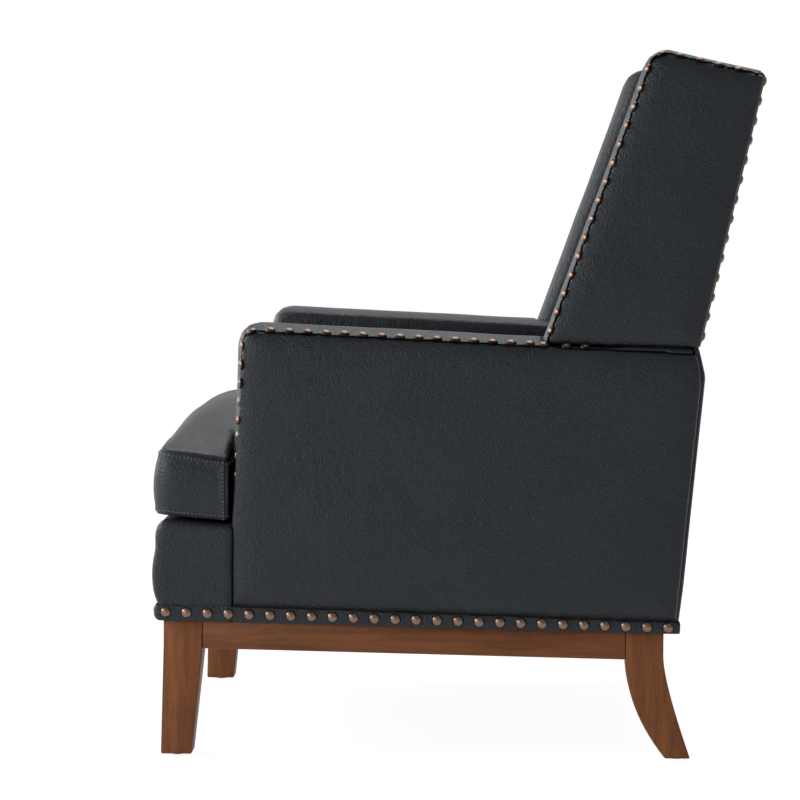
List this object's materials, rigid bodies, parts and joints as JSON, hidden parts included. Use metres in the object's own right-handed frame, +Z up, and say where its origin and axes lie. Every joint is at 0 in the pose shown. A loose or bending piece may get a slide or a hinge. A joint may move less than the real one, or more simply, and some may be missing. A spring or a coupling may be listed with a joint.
{
  "type": "wingback armchair",
  "caption": "Upholstered wingback armchair with padded arms, a loose T-shaped seat cushion, nail trim, square tapered front legs and swept rear legs.",
  "frame": {"origin": "on the floor under the middle of the chair's overall box", "axes": "+Z up, -Y towards the front of the chair, +X towards the sitter's left"},
  "size_m": [0.725, 0.8129, 0.9511],
  "materials": {
    "leather": "satin, fine grain",
    "walnut": "satin lacquer",
    "frame_timber": "sawn",
    "foam": "open-cell foam",
    "decking_cloth": "matte",
    "webbing": "woven",
    "spring_steel": "oil-tempered",
    "glide_nylon": "matte",
    "zip_brass": "antique"
  },
  "bodies": {
    "chair": {"front_leg_left": "walnut", "front_leg_right": "walnut", "rear_leg_left": "walnut", "rear_leg_right": "walnut", "side_apron_left": "walnut", "side_apron_right": "walnut", "front_apron": "walnut", "rear_apron": "walnut", "front_corner_block_left": "frame_timber", "front_corner_block_right": "frame_timber", "rear_corner_block_left": "frame_timber", "rear_corner_block_right": "frame_timber", "side_rail_left": "frame_timber", "side_rail_right": "frame_timber", "front_arm_post_left": "frame_timber", "front_arm_post_right": "frame_timber", "arm_rail_left": "frame_timber", "arm_rail_right": "frame_timber", "back_upright_left": "frame_timber", "back_upright_right": "frame_timber", "wing_frame_left": "frame_timber", "wing_frame_right": "frame_timber", "front_rail": "frame_timber", "rear_seat_rail": "frame_timber", "rear_tack_rail": "frame_timber", "back_top_rail": "frame_timber", "back_tack_rail": "frame_timber", "front_glide_left": "glide_nylon", "front_glide_right": "glide_nylon", "rear_glide_left": "glide_nylon", "rear_glide_right": "glide_nylon", "seat_spring_1": "spring_steel", "seat_spring_2": "spring_steel", "seat_spring_3": "spring_steel", "seat_spring_4": "spring_steel", "seat_spring_5": "spring_steel", "back_web_1": "webbing", "back_web_2": "webbing", "back_web_3": "webbing", "arm_panel_left": "leather", "arm_panel_right": "leather", "arm_cover_left": "leather", "arm_cover_right": "leather", "wing_panel_left": "leather", "wing_panel_right": "leather", "wing_cover_left": "leather", "wing_cover_right": "leather", "inside_back": "leather", "outside_back_panel": "leather", "lower_back_panel": "leather", "front_border": "leather", "trim_band": "leather", "deck_pad": "foam", "deck_cover": "decking_cloth", "dust_cover": "decking_cloth"},
    "seat_cushion": {"cushion_cover": "leather", "cushion_zip": "zip_brass", "cushion_core": "foam", "cushion_ear_left": "foam", "cushion_ear_right": "foam"}
  },
  "joints": [
    {"name": "cushion_lift", "type": "slide", "parent": "chair", "child": "seat_cushion", "axis": [0, 0, 1], "range_m": [0, 0.3]}
  ]
}
